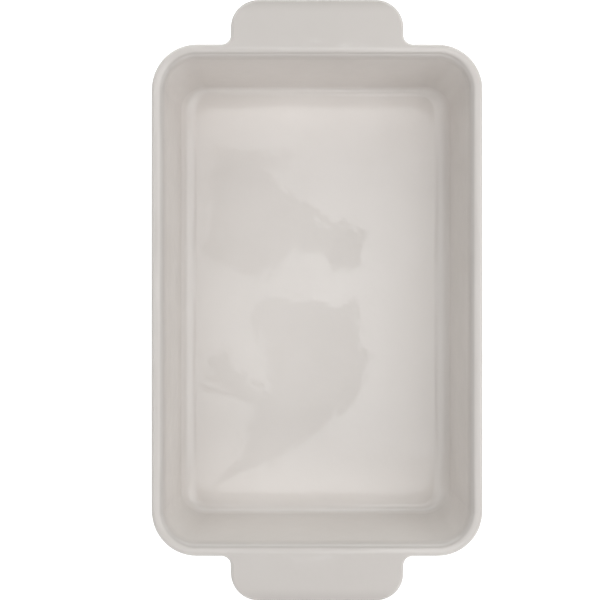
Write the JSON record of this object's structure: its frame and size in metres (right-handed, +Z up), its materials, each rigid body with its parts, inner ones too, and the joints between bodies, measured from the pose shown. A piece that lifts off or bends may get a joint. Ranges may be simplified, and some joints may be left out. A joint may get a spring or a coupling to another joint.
{
  "type": "lasagna dish",
  "caption": "Deep rectangular glazed stoneware baking dish with rounded corners, a flat tab handle at each end and a bare foot ring.",
  "frame": {"origin": "centre of the resting face, on the table under the middle of the dish", "axes": "+X across the dish, +Y along it from handle to handle, +Z up out of its open top"},
  "size_m": [0.2198, 0.4, 0.068],
  "materials": {
    "stoneware": "bare fired clay",
    "glaze": "glossy warm pale grey glaze"
  },
  "bodies": {
    "root": {"stoneware_body": "stoneware", "glaze_coat": "glaze", "underside_glaze": "glaze"}
  },
  "joints": []
}
